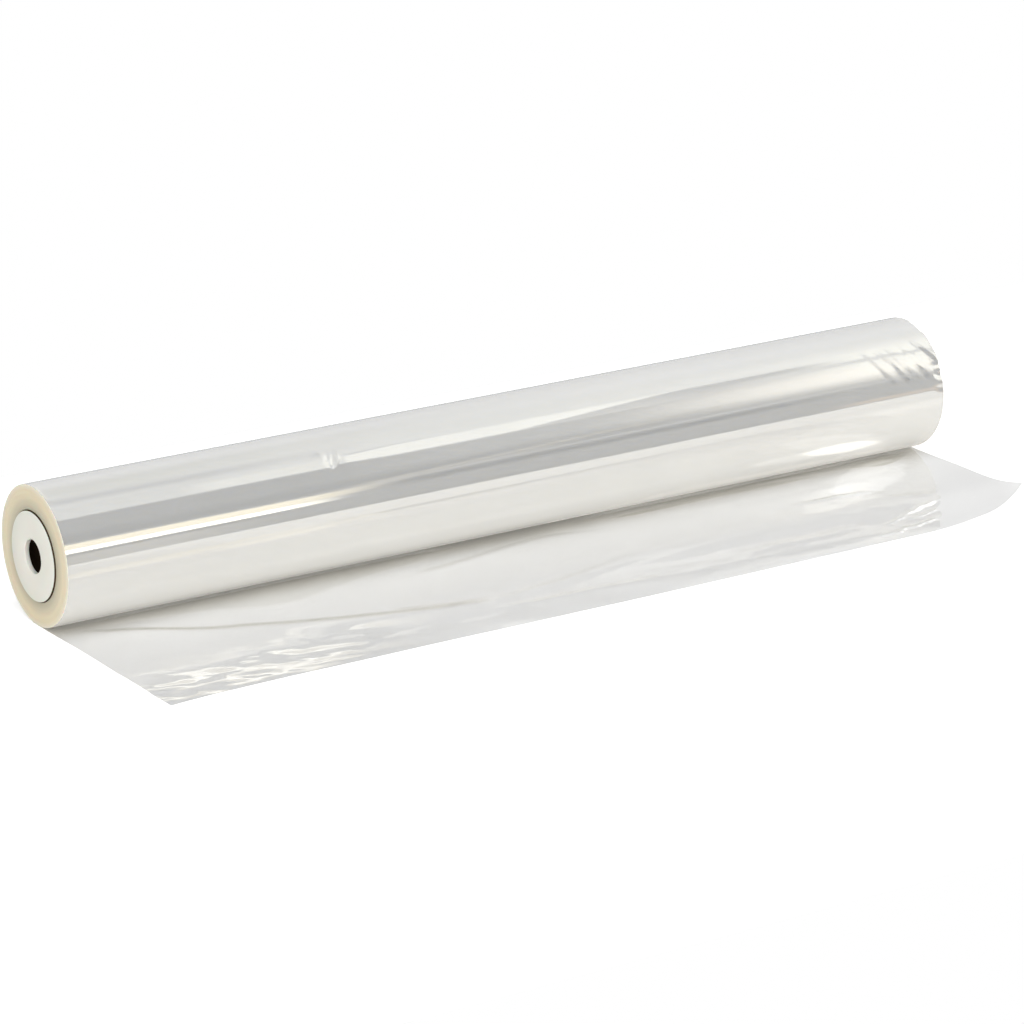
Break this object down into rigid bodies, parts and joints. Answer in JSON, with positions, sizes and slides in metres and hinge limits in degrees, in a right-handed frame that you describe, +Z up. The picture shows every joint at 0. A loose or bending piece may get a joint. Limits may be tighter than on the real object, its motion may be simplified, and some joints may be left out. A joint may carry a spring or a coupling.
{
  "type": "cellophane roll",
  "caption": "Roll of clear glossy packing film wound on a card core, with a moulded plug in each end and a loose length of film lying flat beside it.",
  "frame": {"origin": "middle of the base of the whole object's box, on the surface that the roll lies on", "axes": "+X along the roll from the front plug to the rear plug, -Y towards the loose end of the film, +Z up"},
  "size_m": [0.5016, 0.1628, 0.067],
  "materials": {
    "film": "clear, glossy, silvery where many turns lie together",
    "core_card": "plain grey-brown wound card",
    "plug_plastic": "matt white moulded plastic"
  },
  "bodies": {
    "root": {"film": "film", "core_tube": "core_card", "end_plug_front": "plug_plastic", "end_plug_rear": "plug_plastic"}
  },
  "joints": []
}
